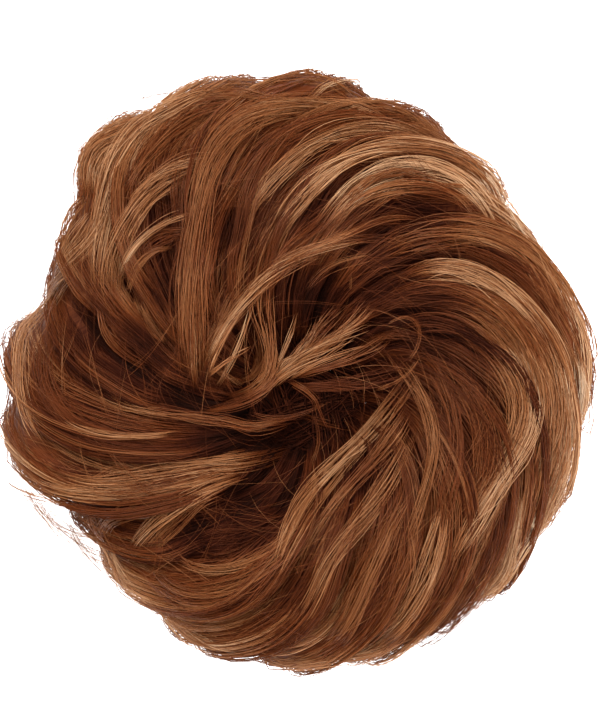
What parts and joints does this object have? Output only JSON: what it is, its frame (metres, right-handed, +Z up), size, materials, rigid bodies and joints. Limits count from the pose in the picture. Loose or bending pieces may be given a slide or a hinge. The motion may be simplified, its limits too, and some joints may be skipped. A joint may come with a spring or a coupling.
{
  "type": "top knot hairpiece",
  "caption": "Messy bun hairpiece: thick locks of false hair swirl clockwise from a centre hole and wrap under round an elastic band.",
  "frame": {"origin": "middle of the outline seen from above, on the surface the hairpiece lies on", "axes": "+Z up out of the swirl, through the ring from its flat underside to its top; +Y towards the top of the swirl as it is seen from above, +X to its right. The hole's axis is parallel to Z at X 1.34 mm, Y -5 mm, because the upper locks reach further out than the lower ones"},
  "size_m": [0.1489, 0.151, 0.0585],
  "materials": {
    "false_hair": "glossy synthetic fibre, reddish chestnut brown with lighter golden strands",
    "elastic": "matt dark brown woven elastic"
  },
  "bodies": {
    "root": {"elastic_band": "elastic", "lock_top_right_sweep": "false_hair", "lock_right_outer_sweep": "false_hair", "lock_right_inner_sweep": "false_hair", "lock_right_middle_fall": "false_hair", "lock_right_low_fall": "false_hair", "lock_low_right_fall": "false_hair", "lock_bottom_right_fall": "false_hair", "lock_bottom_fall": "false_hair", "lock_bottom_sweep": "false_hair", "lock_bottom_left_curl": "false_hair", "lock_left_low_sweep": "false_hair", "lock_left_middle_sweep": "false_hair", "lock_left_upper_sweep": "false_hair", "lock_top_left_outer": "false_hair", "lock_top_left_sweep": "false_hair", "lock_top_inner_sweep": "false_hair", "lock_top_middle_sweep": "false_hair", "lock_top_outer_sweep": "false_hair", "tuft_wisp": "false_hair", "tuft_loop": "false_hair", "tuft_sweep": "false_hair", "tuft_fan": "false_hair", "tuft_spike": "false_hair"}
  },
  "joints": []
}
